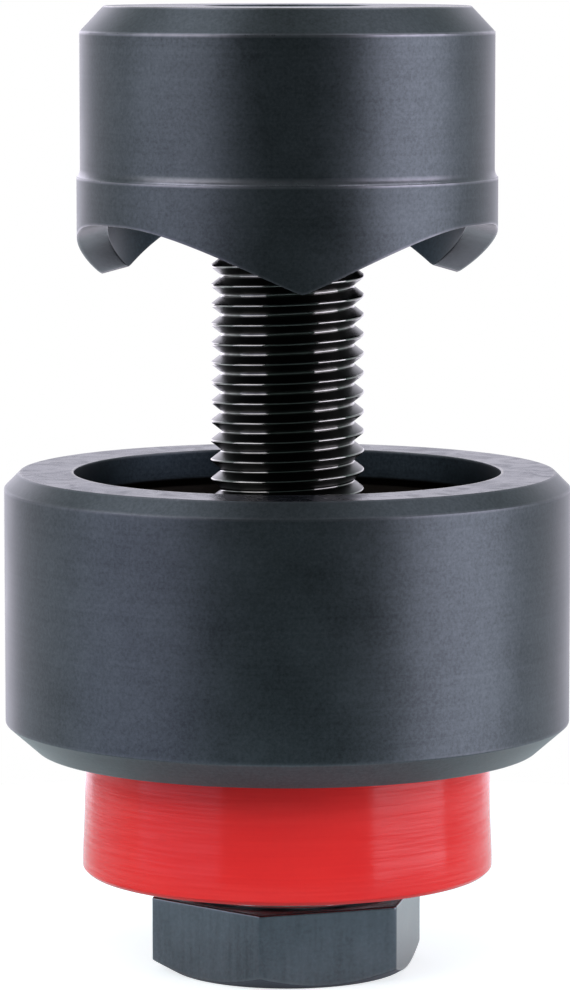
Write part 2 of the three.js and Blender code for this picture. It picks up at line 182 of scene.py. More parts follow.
TABLE_RADIUS = 0.14
TABLE_DROP = 0.00002
table_mesh = bpy.data.meshes.new("table")
table_turn = np.linspace(0, 2 * np.pi, 128, endpoint=False)
table_rim = np.stack([np.cos(table_turn), np.sin(table_turn), 0 * table_turn], -1) * TABLE_RADIUS
table_rim[:, 2] = -TABLE_DROP
table_mesh.from_pydata(table_rim.tolist(), [], [list(range(len(table_rim)))])
table = bpy.data.objects.new("table", table_mesh)
bpy.context.scene.collection.objects.link(table)
table_finish = bpy.data.materials.new("table_white")
table_finish.use_nodes = True
table_tree = table_finish.node_tree
table_tree.nodes.remove(table_tree.nodes["Principled BSDF"])
table_place = Wire(table_tree).node("ShaderNodeTexCoord", output="Object")
_, table_depth, _ = table_place.parts()
straight, through, mirrored = rays(table_tree)
# In glossy rays the table glows, dim in front of the tool and bright behind it: a painted reflection,
# darker in front where the tool's shade falls.
painted_reflection_glow = mirrored * table_depth.between(-0.05, 0.03, 0.1, 0.55)
table_white = straight.math("MAXIMUM", through) * 0.72 + painted_reflection_glow
lit = table_place.node("ShaderNodeBsdfDiffuse", sockets={"Color": (0.53, 0.67, 0.7, 1)})
glow = table_place.node("ShaderNodeEmission", sockets={"Color": (1, 1, 1, 1), "Strength": table_white})
both = table_place.node("ShaderNodeAddShader", sockets={0: lit, 1: glow})
both.feeds(table_tree.nodes["Material Output"], "Surface")
table_mesh.materials.append(table_finish)


# Draw screw: one forging of blacked steel, with a hexagon head, a round thrust collar and a plain
# shank, and a rolled thread above. The head keeps the satin of the bath, the thread is oiled.
MM = 0.001
HEAD_FLATS = 32
HEAD_HEIGHT = 10
FOOT_RADIUS = 15.3
FOOT_SLOPE = math.tan(math.radians(30))
HEAD_CORNER_ANGLE = -101
HEAD_CORNER_ROUND = 0.5
COLLAR_RADIUS = 14
COLLAR_TOP = 15.93
SHANK_RADIUS = 9.9
SHANK_SEAM = 35
THREAD_START = 51.9
THREAD_FOOT = THREAD_START - 1
SCREW_TIP = 119
PITCH = 2.5
THREAD_ANGLE = math.radians(13)
THREAD_ROOT = SHANK_RADIUS - 0.5413 * PITCH
FLANK_SLOPE = math.radians(38)
THREAD_ROUND = 0.2
THREAD_ROUND_STEPS = 8
TIP_RADIUS = 8.1
THREAD_COLUMNS = 120
MERGE_DISTANCE = 0.002
SHARP_TURN = math.radians(40)


def rounded(corners, fillets, rubs_and_highlights=0.15, repeat=(0, 0), steps=4, support=0.3):
    """Rounds the corners of closed outlines (..., corner, 2).

    An arc touches both sides of its corner at fillet x tan(turn / 2). Two support points stand
    near the ends of each straight, so that flats stay flat in shading. The second result is how
    far the finish is rubbed off, on some edges partly a painted highlight: the corner's rub on arcs
    that bulge outwards, and 0 elsewhere.
    """
    corners = np.asarray(corners, float)
    fillets = np.broadcast_to(np.asarray(fillets, float), corners.shape[:-1])
    back = np.roll(corners, 1, axis=-2)
    back[..., 0, :] -= repeat
    ahead = np.roll(corners, -1, axis=-2)
    ahead[..., -1, :] += repeat
    arriving = corners - back
    arriving /= np.linalg.norm(arriving, axis=-1, keepdims=True)
    leaving = ahead - corners
    leaving /= np.linalg.norm(leaving, axis=-1, keepdims=True)
    cross = arriving[..., 0] * leaving[..., 1] - arriving[..., 1] * leaving[..., 0]
    turn = np.arctan2(cross, (arriving * leaving).sum(-1))
    reach = (fillets * np.tan(np.abs(turn) / 2))[..., None]
    start = corners - arriving * reach
    end = corners + leaving * reach
    left = np.stack([-arriving[..., 1], arriving[..., 0]], -1)
    spoke = -left * (np.sign(turn) * fillets)[..., None]
    swing = turn[..., None] * np.linspace(0, 1, steps + 1)
    across = spoke[..., None, 0] * np.cos(swing) - spoke[..., None, 1] * np.sin(swing)
    along = spoke[..., None, 0] * np.sin(swing) + spoke[..., None, 1] * np.cos(swing)
    arc = (start - spoke)[..., None, :] + np.stack([across, along], -1)
    following = np.roll(start, -1, axis=-2)
    following[..., -1, :] += repeat
    straight = following - end
    length = np.linalg.norm(straight, axis=-1, keepdims=True)
    part = straight * np.minimum(support / np.maximum(length, 1e-9), 1 / 3)
    stands = np.stack([end + part, following - part], -2)
    points = np.concatenate([arc, stands], -2)
    rub_and_highlight = np.zeros(points.shape[:-1])
    rub_and_highlight[..., : steps + 1] = (rubs_and_highlights * (turn > 0))[..., None]
    return points.reshape(*corners.shape[:-2], -1, 2), rub_and_highlight.reshape(*corners.shape[:-2], -1)


def lattice(rows, columns, closed_rows=False):
    """Quads of a grid whose point (column, row) is number column x rows + row. The columns close
    to a ring, and with closed_rows the rows do too."""
    column = np.arange(columns)[:, None]
    row = np.arange(rows if closed_rows else rows - 1)[None, :]
    next_column = (column + 1) % columns
    next_row = (row + 1) % rows
    ring = [(column, row), (next_column, row), (next_column, next_row), (column, next_row)]
    return np.stack([c * rows + r for c, r in ring], -1).reshape(-1, 4)


def placed(radius, angle, height):
    """Points (r cos a, r sin a, h) of three arrays, as one list."""
    return np.stack([radius * np.cos(angle), radius * np.sin(angle), height], -1).reshape(-1, 3)


def revolved(outline, angles):
    """Points of outlines (radius, height), one for all columns or one each, at those angles."""
    radius = np.broadcast_to(outline[..., 0], (len(angles), outline.shape[-2]))
    height = np.broadcast_to(outline[..., 1], radius.shape)
    return placed(radius, angles[:, None], height)


def make_piece(name, points, faces, rub_and_highlight, body, nodes, finishes):
    """Makes a mesh of quads in millimetres, merges its doubles and hands it to the frame."""
    mesh = bpy.data.meshes.new(name)
    mesh.vertices.add(len(points))
    mesh.vertices.foreach_set("co", (points * MM).astype(np.float32).ravel())
    mesh.loops.add(faces.size)
    mesh.loops.foreach_set("vertex_index", faces.astype(np.int32).ravel())
    mesh.polygons.add(len(faces))
    mesh.polygons.foreach_set("loop_start", np.arange(0, faces.size, 4, dtype=np.int32))
    # The rub attribute carries rubbed wear and, on the cove, the thread and some rims, painted
    # highlights.
    mesh.attributes.new("rub_and_highlight", "FLOAT", "POINT").data.foreach_set("value", rub_and_highlight.astype(np.float32))
    mesh.update(calc_edges=True)
    merged = bmesh.new()
    merged.from_mesh(mesh)
    bmesh.ops.remove_doubles(merged, verts=merged.verts, dist=MERGE_DISTANCE * MM)
    loose = [edge for edge in merged.edges if not edge.link_faces]
    bmesh.ops.delete(merged, geom=loose, context="EDGES")
    merged.to_mesh(mesh)
    merged.free()
    mesh.validate()
    mesh.polygons.foreach_set("use_smooth", np.ones(len(mesh.polygons), bool))
    mesh.set_sharp_from_angle(angle=SHARP_TURN)
    for finish in finishes:
        mesh.materials.append(finish)
    piece = bpy.data.objects.new(name, mesh)
    bpy.context.scene.collection.objects.link(piece)
    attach(piece, body)
    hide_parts(*nodes)
    return piece


def finish_faces(piece, chosen):
    """Gives each face the finish whose number chosen(radius, height, up) returns for it, from the
    face's middle in millimetres and from how far its normal points up, -1 to 1."""
    mesh = piece.data
    middle = np.empty(len(mesh.polygons) * 3, np.float32)
    normal = np.empty(len(mesh.polygons) * 3, np.float32)
    mesh.polygons.foreach_get("center", middle)
    mesh.polygons.foreach_get("normal", normal)
    x, y, height = middle.reshape(-1, 3).T / MM
    numbers = chosen(np.hypot(x, y), height, normal[2::3])
    mesh.polygons.foreach_set("material_index", numbers.astype(np.int32))


def joined(*surfaces):
    """Puts (points, quads, worn) of several surfaces in one set."""
    counts = np.cumsum([0] + [len(points) for points, _, _ in surfaces])
    points = np.concatenate([points for points, _, _ in surfaces])
    quads = np.concatenate([quads + shift for (_, quads, _), shift in zip(surfaces, counts)])
    rub_and_highlight = np.concatenate([rub_and_highlight for _, _, rub_and_highlight in surfaces])
    return points, quads, rub_and_highlight


def unworn(points):
    """No rub at any of these points."""
    return np.zeros(len(points))


def head_columns():
    """Column angles of the hexagon, and how far it reaches from the axis at each.

    At angle a from a corner, a flat reaches F / 2 / cos(30 degrees - a). The corner is an arc of
    radius r round a point c out along it, and reaches c cos a + sqrt(r^2 - (c sin a)^2).
    """
    half = np.array([0.26, 0.52, 0.78, 1.2, 2, 4, 7, 10, 13, 16, 19, 22, 25, 28])
    offsets = np.concatenate([[0], half, [30], 60 - half[::-1]])
    angles = (HEAD_CORNER_ANGLE + 60 * np.arange(6)[:, None] + offsets).ravel()
    off = np.radians(np.minimum(offsets, 60 - offsets))
    flat = HEAD_FLATS / 2 / np.cos(np.pi / 6 - off)
    centre = (HEAD_FLATS / 2 - HEAD_CORNER_ROUND) / math.cos(math.pi / 6)
    inside = np.maximum(HEAD_CORNER_ROUND**2 - (centre * np.sin(off)) ** 2, 0)
    arc = centre * np.cos(off) + np.sqrt(inside)
    touch = math.atan2(HEAD_CORNER_ROUND / 2, centre + HEAD_CORNER_ROUND * math.cos(math.pi / 6))
    return np.radians(angles), np.tile(np.where(off < touch, arc, flat), 6)


head_angles, head_reach = head_columns()
foot_edge = (head_reach - FOOT_RADIUS) * FOOT_SLOPE
level = 0 * head_reach
head_corners = [
    (0, 0),
    (FOOT_RADIUS, 0),
    (head_reach, foot_edge),
    (head_reach, HEAD_HEIGHT),
    (COLLAR_RADIUS, HEAD_HEIGHT),
    (COLLAR_RADIUS, COLLAR_TOP),
    (SHANK_RADIUS, COLLAR_TOP),
    (SHANK_RADIUS, SHANK_SEAM),
    (0, SHANK_SEAM),
]
head_corners = np.stack(
    [np.stack([radius + level, height + level], -1) for radius, height in head_corners], -2
)
head_outline, head_worn = rounded(head_corners, [0, 0.3, 0.25, 0.2, 0.4, 0.3, 0.3, 0, 0])
head_outline = head_outline[:, :-2]
head_points = revolved(head_outline, head_angles)
head_quads = lattice(head_outline.shape[1], len(head_angles))


def helical_band(profile, columns, low, high):
    """A thread as one band: at turn angle a, profile point (r, h) lies at height h + pitch a / 2 pi.

    Each turn's upper edge is the next turn's lower one. Heights are held between low and high, so
    the ends shrink to circles when doubles are merged. Returns radius, angle, height and quads.
    """
    rows = len(profile)
    first_turn = math.floor(low / PITCH) - 2
    turns = math.ceil(high / PITCH) + 2 - first_turn
    step = np.arange((turns + 1) * columns + 1)
    angle = THREAD_ANGLE + 2 * np.pi * step / columns
    climb = PITCH * (first_turn + step / columns)
    height = np.clip(climb[:, None] + profile[None, :, 1], low, high)
    radius = np.broadcast_to(profile[None, :, 0], height.shape)
    angle = np.broadcast_to(angle[:, None], height.shape)
    here = np.arange(turns * columns)[:, None]
    row = np.arange(rows)[None, :]
    lower = here * rows + row
    upper = np.where(row == rows - 1, (here + columns) * rows, lower + 1)
    quads = np.stack([lower, lower + rows, upper + rows, upper], -1).reshape(-1, 4)
    return radius, angle, height, quads


crest_peak = SHANK_RADIUS + THREAD_ROUND * (1 / math.sin(FLANK_SLOPE) - 1)
thread_corners = [(crest_peak, 0), (crest_peak - PITCH / 2 / math.tan(FLANK_SLOPE), PITCH / 2)]
thread_profile, _ = rounded(thread_corners, THREAD_ROUND, 0, (0, PITCH), THREAD_ROUND_STEPS, 0.08)
radius, angle, height, thread_quads = helical_band(
    thread_profile, THREAD_COLUMNS, THREAD_FOOT, SCREW_TIP
)
lead_in = THREAD_ROOT + height - THREAD_START
tip_cone = TIP_RADIUS + SCREW_TIP - height
run_out = np.minimum(SHANK_RADIUS, SHANK_RADIUS + THREAD_START - height)
radius = np.maximum(np.minimum(radius, np.minimum(lead_in, tip_cone)), np.maximum(run_out, 0))
radius = np.where(height >= SCREW_TIP, TIP_RADIUS, radius)
thread_points = placed(radius, angle, height)
# Crest and root arcs take the thread's bright bare colour: a painted highlight that brightens the lit
# lines, on the crests partly also rubbed wear.
crest_and_root_highlight = np.tile([1.0] * (THREAD_ROUND_STEPS + 1) + [0.0, 0.0], 2)
thread_rub_and_highlight = np.broadcast_to(crest_and_root_highlight, height.shape).ravel()

end_angles = THREAD_ANGLE + 2 * np.pi * np.arange(THREAD_COLUMNS) / THREAD_COLUMNS
shank_outline = np.array([(0, SHANK_SEAM), (SHANK_RADIUS, SHANK_SEAM), (SHANK_RADIUS, THREAD_FOOT)])
tip_radii = np.array([TIP_RADIUS, TIP_RADIUS - 0.3, 1, 0])
tip_outline = np.stack([tip_radii, np.full(len(tip_radii), SCREW_TIP)], -1)
shank_points = revolved(shank_outline, end_angles)
tip_points = revolved(tip_outline, end_angles)
screw_points, screw_quads, screw_rub_and_highlight = joined(
    (head_points, head_quads, head_worn[:, :-2].ravel()),
    (shank_points, lattice(len(shank_outline), THREAD_COLUMNS), unworn(shank_points)),
    (thread_points, thread_quads, thread_rub_and_highlight),
    (tip_points, lattice(len(tip_outline), THREAD_COLUMNS), unworn(tip_points)),
)


def surface_place(tree):
    """The place on the piece in millimetres, its x, y and z, and its distance from the axis."""
    place = Wire(tree).node("ShaderNodeTexCoord", output="Object")
    place = place.node("ShaderNodeVectorMath", {"operation": "SCALE"}, {0: place, "Scale": 1000})
    x, y, z = place.parts()
    reach = (x * x + y * y + 0.01).math("SQRT")
    return place, x, y, z, reach


def vector(x, y, z):
    """One vector from three wires."""
    return x.node("ShaderNodeCombineXYZ", sockets={0: x, 1: y, 2: z})


def noise(place, scale, detail, **more):
    """Fractal noise from 0 to 1, of scale features to a unit of place, and detail finer octaves."""
    sockets = {"Vector": place, "Scale": scale, "Detail": detail, **more}
    return place.node("ShaderNodeTexNoise", sockets=sockets)


def steel(name, shade, bare, roughness, metallic, grain, lines, edge, turned_lines=True, smudges=0.0):
    """Blacked or bright steel. Clouds of the bath, a fine grain and turned lines round the axis, or
    upright draw marks, vary its colour, roughness and normal. Where the rub attribute is set, the
    colour turns towards bare metal: rubbed wear on outward edges, and painted highlights on the
    punch's cove, the thread's crests and roots and some rims."""
    finish = bpy.data.materials.new(name)
    finish.use_nodes = True
    shader = finish.node_tree.nodes["Principled BSDF"]
    place, x, y, z, reach = surface_place(finish.node_tree)
    if turned_lines:
        line_place = vector(x / reach, y / reach, (z + reach) * 2.2)
    else:
        line_place = vector(x * 1.6, y * 1.6, z * 0.12)
    turned = noise(line_place, 1.0, 4)
    cloud = noise(place, 0.11, 5)
    speck = noise(place, 2.3, 4, Roughness=0.75)
    mottle = noise(place, 0.55, 3)
    rub = noise(place, 0.7, 6)
    smudge = noise(place, 0.2, 4, Distortion=1.5)
    rub_and_highlight = place.node("ShaderNodeAttribute", {"attribute_name": "rub_and_highlight"}, output="Fac")
    rub_and_highlight_mix = rub_and_highlight * rub.between(0.3, 0.7, 0.7, 1.0) * edge
    tone = (cloud - 0.5) * 1.1 + (mottle - 0.5) * grain * 0.4 + (speck - 0.5) * grain * 2.8
    tone = tone + (turned - 0.5) * lines + 0.5
    blacked = tone.colour(tuple(0.72 * part for part in shade), tuple(1.28 * part for part in shade))
    rub_and_highlight_mix.colour(blacked, bare).feeds(shader, "Base Color")
    rough = (cloud - 0.5) * 0.12 + (speck - 0.5) * 0.1 * grain + roughness - rub_and_highlight_mix * 0.25
    rough = rough + smudge.between(0.4, 0.75) * smudges
    rough.feeds(shader, "Roughness")
    relief = speck * grain + turned * lines
    bump = place.node("ShaderNodeBump", sockets={"Strength": 1.0, "Distance": 6e-6, "Height": relief})
    bump.feeds(shader, "Normal")
    shader.inputs["Metallic"].default_value = metallic
    return finish


blacked_head = steel(
    "blacked_head",
    (0.11, 0.123, 0.141),
    (0.3, 0.3, 0.3),
    0.22,
    0.95,
    grain=0.5,
    lines=0.8,
    edge=0.9,
    turned_lines=False,
)
oiled_thread = steel(
    "oiled_thread", (0.033, 0.033, 0.031), (0.34, 0.335, 0.32), 0.3, 1.0, grain=0.3, lines=0.1, edge=1.0
)
ground_collar = steel(
    "ground_collar", (0.5, 0.5, 0.51), (0.6, 0.6, 0.6), 0.24, 1.0, grain=0.1, lines=0.4, edge=0.5
)
# A darker, bluer, rougher copy of the head's steel for the faces that look down at the foot: painted
# shade.
foot_painted_shade = steel(
    "foot_painted_shade", (0.03, 0.034, 0.06), (0.2, 0.2, 0.2), 0.45, 0.95, grain=0.6, lines=0.2, edge=0.9
)
screw = make_piece(
    "draw_screw_forging",
    screw_points,
    screw_quads,
    screw_rub_and_highlight,
    "screw",
    ["draw_screw"],
    [blacked_head, oiled_thread, ground_collar, foot_painted_shade],
)


def screw_finish(radius, height, up):
    """The head is number 0, and the thread and shank, the collar and the foot follow. The foot's
    finish is a darker, bluer copy of the head's steel: painted shade.
    """
    on_thread = height > COLLAR_TOP + 1
    on_collar = (height > HEAD_HEIGHT + 0.1) & ~on_thread
    on_foot = (height < HEAD_HEIGHT / 2) & (up < -0.5)
    return on_thread + 2 * on_collar + 3 * on_foot


finish_faces(screw, screw_finish)


# Thrust bearing: two hardened and ground steel races with a ball groove each, twelve polished
# balls in a drilled brass cage. The lower race seats on the collar and turns with the screw.
RACE_RADIUS = 17.5
UPPER_RACE_BORE = 10.5
UPPER_RACE_FACE = 22.7
UPPER_RACE_TOP = 25.9
LOWER_RACE_RADIUS = 17.2
LOWER_RACE_BORE = 10.2
LOWER_RACE_FACE = 19.1271
LOWER_RACE_SEAT = 15.9271
RACE_ROUND = 0.35
RACE_EDGE = 0.2
RACE_RUB = 0.3
BALL_COUNT = 12
BALL_RINGS = 25
BALL_COLUMNS = 48
BALL_RADIUS = 2.482
BALL_PITCH_RADIUS = 13.85
BALL_HEIGHT = 20.913
GROOVE_RADIUS = BALL_RADIUS + 0.3
ROUND_COLUMNS = 240
FIRST_TOOTH = np.radians(-86)
round_angles = FIRST_TOOTH + 2 * np.pi * np.arange(ROUND_COLUMNS) / ROUND_COLUMNS


def groove(face, side):
    """Sharp corners of the ball groove: an arc round the ball, cut off by the race's face."""
    spread = math.acos(abs(face - BALL_HEIGHT) / GROOVE_RADIUS)
    swing = spread * np.linspace(-1, 1, 15)
    radius = BALL_PITCH_RADIUS + GROOVE_RADIUS * np.sin(swing)
    height = BALL_HEIGHT + side * GROOVE_RADIUS * np.cos(swing)
    return np.stack([radius, height, 0 * swing, 0 * swing + RACE_RUB], -1)


def turned_piece(name, corners, body, nodes, finishes):
    """A ring turned from its outline, which runs up the outside and down the bore. A corner is
    (radius, height, fillet, rub)."""
    corners = np.array(corners)
    outline, rub_and_highlight = rounded(corners[:, :2], corners[:, 2], corners[:, 3])
    points = revolved(outline, round_angles)
    quads = lattice(len(outline), ROUND_COLUMNS, closed_rows=True)
    rub_and_highlight = np.broadcast_to(rub_and_highlight, (ROUND_COLUMNS, len(outline))).ravel()
    return make_piece(name, points, quads, rub_and_highlight, body, nodes, finishes)


ground_steel = steel(
    "ground_steel", (0.5, 0.51, 0.53), (0.7, 0.7, 0.7), 0.22, 1.0, grain=0.1, lines=0.5, edge=0.5
)
upper_groove = groove(UPPER_RACE_FACE, 1)
lower_groove = groove(LOWER_RACE_FACE, -1)[::-1]
turned_piece(
    "upper_race_ring",
    [
        (UPPER_RACE_BORE, UPPER_RACE_FACE, RACE_EDGE, RACE_RUB),
        *upper_groove,
        (RACE_RADIUS, UPPER_RACE_FACE, RACE_EDGE, RACE_RUB),
        (RACE_RADIUS, UPPER_RACE_TOP, RACE_ROUND, RACE_RUB),
        (UPPER_RACE_BORE, UPPER_RACE_TOP, RACE_ROUND, RACE_RUB),
    ],
    "housing",
    ["upper_race"],
    [ground_steel],
)
turned_piece(
    "lower_race_ring",
    [
        (LOWER_RACE_BORE, LOWER_RACE_SEAT, RACE_ROUND, RACE_RUB),
        (LOWER_RACE_RADIUS, LOWER_RACE_SEAT, RACE_ROUND, RACE_RUB),
        (LOWER_RACE_RADIUS, LOWER_RACE_FACE, RACE_EDGE, RACE_RUB),
        *lower_groove,
        (LOWER_RACE_BORE, LOWER_RACE_FACE, RACE_EDGE, RACE_RUB),
    ],
    "screw",
    ["lower_race"],
    [ground_steel],
)

polished_steel = steel(
    "polished_steel", (0.62, 0.63, 0.65), (0.7, 0.7, 0.7), 0.09, 1.0, grain=0.08, lines=0.05, edge=0
)
ball_swing = np.linspace(-np.pi / 2, np.pi / 2, BALL_RINGS)
ball_angles = 2 * np.pi * np.arange(BALL_COLUMNS) / BALL_COLUMNS
ball_outline = BALL_RADIUS * np.stack([np.cos(ball_swing), np.sin(ball_swing)], -1)
ball_outline[[0, -1], 0] = 0
ball_surface = revolved(ball_outline, ball_angles)
for number in range(BALL_COUNT):
    turn = 2 * math.pi * number / BALL_COUNT
    middle = [BALL_PITCH_RADIUS * math.cos(turn), BALL_PITCH_RADIUS * math.sin(turn), BALL_HEIGHT]
    node = f"ball_{number + 1:02d}"
    make_piece(
        f"polished_{node}",
        ball_surface + middle,
        lattice(BALL_RINGS, BALL_COLUMNS),
        unworn(ball_surface),
        node,
        [node],
        [polished_steel],
    )

drilled_brass = steel(
    "drilled_brass", (0.52, 0.36, 0.14), (0.6, 0.45, 0.2), 0.34, 1.0, grain=0.2, lines=0.5, edge=0
)
spring_black = steel(
    "spring_black", (0.06, 0.06, 0.065), (0.3, 0.3, 0.3), 0.42, 0.9, grain=0.4, lines=0.2, edge=0
)
for node, finish in (("ball_cage", drilled_brass), ("retaining_ring", spring_black)):
    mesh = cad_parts[node].data
    mesh.materials.clear()
    mesh.materials.append(finish)


# Bearing housing: a steel cup turned on a lathe and sprayed red, which hangs over the bearing. The
# tool's feed shows through the paint as fine level lines.
HOUSING_FOOT = 12.9
HOUSING_TOP = 28.9
HOUSING_RADIUS = 26.6
HOUSING_WAIST = 26.3
HOUSING_EDGE = 0.5
SKIRT_TOP = 15.1
WAIST_FOOT = 21
HOUSING_BORE = 17.8
PLATE_BORE = 10.5
RING_SEAT_RADIUS = 19.0
RING_SEAT_FOOT = 14.4271

red = bpy.data.materials.new("red_paint")
red.use_nodes = True
red_shader = red.node_tree.nodes["Principled BSDF"]
place, x, y, z, reach = surface_place(red.node_tree)
feed = noise(vector(x / reach * 2.5, y / reach * 2.5, (z + reach) * 4), 1.0, 3)
mist = noise(place, 0.09, 4)
fleck = noise(place, 1.6, 4)
red_tone = (mist - 0.5) * 0.9 + (feed - 0.5) * 0.8 + (fleck - 0.5) * 0.3 + 0.5
red_tone.colour((0.82, 0.027, 0.028), (0.95, 0.036, 0.032)).feeds(red_shader, "Base Color")
red_rough = (mist - 0.5) * 0.06 + (feed - 0.5) * 0.25 + 0.2
red_rough.feeds(red_shader, "Roughness")
feed.between(0.3, 0.7, 0.15, 0.5).feeds(red_shader, "Coat Weight")
red_shader.inputs["Coat Roughness"].default_value = 0.16
red_shader.inputs["IOR"].default_value = 1.15
feed_sockets = {"Strength": 1.0, "Distance": 16e-6, "Height": feed + fleck * 0.2}
place.node("ShaderNodeBump", sockets=feed_sockets).feeds(red_shader, "Normal")
turned_piece(
    "red_housing",
    [
        (HOUSING_BORE, HOUSING_FOOT, 0.3, 0),
        (HOUSING_RADIUS - HOUSING_EDGE, HOUSING_FOOT, 0.3, 0),
        (HOUSING_RADIUS, HOUSING_FOOT + HOUSING_EDGE, 0.4, 0),
        (HOUSING_RADIUS, SKIRT_TOP, 50, 0),
        (HOUSING_WAIST, WAIST_FOOT, 100, 0),
        (HOUSING_WAIST, HOUSING_TOP - HOUSING_EDGE, 0.3, 0),
        (HOUSING_WAIST - HOUSING_EDGE, HOUSING_TOP, 0.3, 0),
        (PLATE_BORE, HOUSING_TOP, 0.3, 0),
        (PLATE_BORE, UPPER_RACE_TOP, 0.3, 0),
        (HOUSING_BORE, UPPER_RACE_TOP, 0.4, 0),
        (HOUSING_BORE, LOWER_RACE_SEAT, 0.1, 0),
        (RING_SEAT_RADIUS, LOWER_RACE_SEAT, 0.1, 0),
        (RING_SEAT_RADIUS, RING_SEAT_FOOT, 0.1, 0),
        (HOUSING_BORE, RING_SEAT_FOOT, 0.1, 0),
    ],
    "housing",
    ["bearing_housing"],
    [red],
)


# Die: a deep cup of tool steel, turned, hardened and blacked. Its bore has a sharp cutting edge
# and is a little wider below it, and its floor stands on the housing.
DIE_RADIUS = 36.5
DIE_FACE = 64.7
DIE_CHAMFER = 2
DIE_FOOT_IN = 4
DIE_FOOT_UP = 3.5
DIE_BORE = 27.55
LAND_FOOT = 61.0
DIE_RELIEF = 1
RELIEF_RADIUS = DIE_BORE + DIE_RELIEF
DIE_FLOOR = 40.9
FLOOR_CHAMFER = 3

blacked_tool_steel = steel(
    "blacked_tool_steel",
    (0.07, 0.08, 0.088),
    (0.38, 0.365, 0.41),
    0.4,
    0.95,
    grain=0.8,
    lines=0.5,
    edge=0.9,
)
ground_face = steel(
    "ground_face",
    (0.072, 0.076, 0.105),
    (0.55, 0.5, 0.34),
    0.22,
    0.95,
    grain=0.5,
    lines=0.2,
    edge=0.9,
    smudges=0.12,
)
# A near-black copy of the steel for the wider relief under the cutting land: painted shade.
relief_painted_shade = steel(
    "relief_painted_shade", (0.018, 0.015, 0.012), (0.2, 0.2, 0.2), 0.5, 0.9, grain=0.6, lines=0.6, edge=0.6
)
# A darker, bluer copy of the steel for the die's cutting land and the punch's cavity wall: painted
# shade.
recess_painted_shade = steel(
    "recess_painted_shade", (0.03, 0.042, 0.052), (0.2, 0.2, 0.2), 0.42, 0.95, grain=1.1, lines=0.6, edge=0.6
)
die = turned_piece(
    "blacked_die",
    [
        (PLATE_BORE, HOUSING_TOP, 0.4, 0.1),
        (DIE_RADIUS - DIE_FOOT_IN, HOUSING_TOP, 0.25, 0.1),
        (DIE_RADIUS, HOUSING_TOP + DIE_FOOT_UP, 0.25, 0.1),
        (DIE_RADIUS, DIE_FACE - DIE_CHAMFER, 0.14, 0.15),
        (DIE_RADIUS - DIE_CHAMFER, DIE_FACE, 0.14, 0.15),
        # The bore's rim is rubbed 0.5: partly edge wear, partly a painted highlight line.
        (DIE_BORE, DIE_FACE, 0.1, 0.5),
        (DIE_BORE, LAND_FOOT, 0.3, 0.1),
        (RELIEF_RADIUS, LAND_FOOT - DIE_RELIEF, 0.3, 0.1),
        (RELIEF_RADIUS, DIE_FLOOR + FLOOR_CHAMFER, 0.6, 0.1),
        (RELIEF_RADIUS - FLOOR_CHAMFER, DIE_FLOOR, 0.6, 0.1),
        (PLATE_BORE, DIE_FLOOR, 0.4, 0.15),
    ],
    "die",
    ["die"],
    [blacked_tool_steel, ground_face, relief_painted_shade, recess_painted_shade],
)


def die_finish(radius, height, up):
    """The outside is number 0, and the ground face, the cavity and the cutting land follow; the
    cavity and the land take darker copies of the steel that paint their shade.
    """
    on_face = (height > DIE_FACE - 0.1) & (up > 0.99)
    below_land = (height < LAND_FOOT - 0.1) & (height > DIE_FLOOR - 0.9)
    in_cavity = below_land & (radius < RELIEF_RADIUS + 0.45)
    on_land = (height > LAND_FOOT - 0.1) & (radius < DIE_BORE + 0.01)
    return on_face + 2 * in_cavity + 3 * on_land


finish_faces(die, die_finish)


# Punch: a cup of the same steel with three cutting teeth round its mouth, ground as arches that
# slope up inwards. Its thick crown carries the nut thread that the draw screw pulls on.
LAND_RADIUS = 27
BODY_RADIUS = 26.55
CAVITY_RADIUS = 23
MOUTH_RADIUS = 10.8
CEILING = 105
CEILING_CHAMFER = 4
PUNCH_TOP = 124.4
CROWN_CHAMFER_IN = 3.1
CROWN_CHAMFER_DOWN = 3.3
TOOTH_COUNT = 3
TOOTH_TIP = 89.2
TOOTH_TURN = 2 * np.pi / TOOTH_COUNT
TOOTH_SLOPE = math.tan(math.radians(15))
ARCH_RADIUS = 33
ARCH_FLAT = 4
TIP_BLUNT = 0.12
COVE_BOTTOM = 102.6
COVE_HEIGHT = 1.1
# How far the cove's foot is painted towards bare steel: a painted highlight, partly rubbed wear.
COVE_HIGHLIGHT_RUB = 0.75
NUT_GAP = 0.3
NUT_FLANK_GAP = 0.15


def tooth_edge(angles):
    """Height of the cutting edge: arches of one radius with a short flat top, one to a tooth.

    At angle a from an arch's middle, the drop from its top is R - sqrt(R^2 - u^2), where u is the
    land's radius x |sin a| less half the flat, and at least 0. The tips, where two arches meet,
    are a little blunted.
    """

    def drop(angle):
        across = np.maximum(LAND_RADIUS * np.abs(np.sin(angle)) - ARCH_FLAT / 2, 0)
        return ARCH_RADIUS - np.sqrt(ARCH_RADIUS**2 - across**2)

    from_middle = (angles - FIRST_TOOTH) % TOOTH_TURN - TOOTH_TURN / 2
    rise = drop(TOOTH_TURN / 2) - drop(from_middle)
    return TOOTH_TIP + np.sqrt(rise**2 + TIP_BLUNT**2)


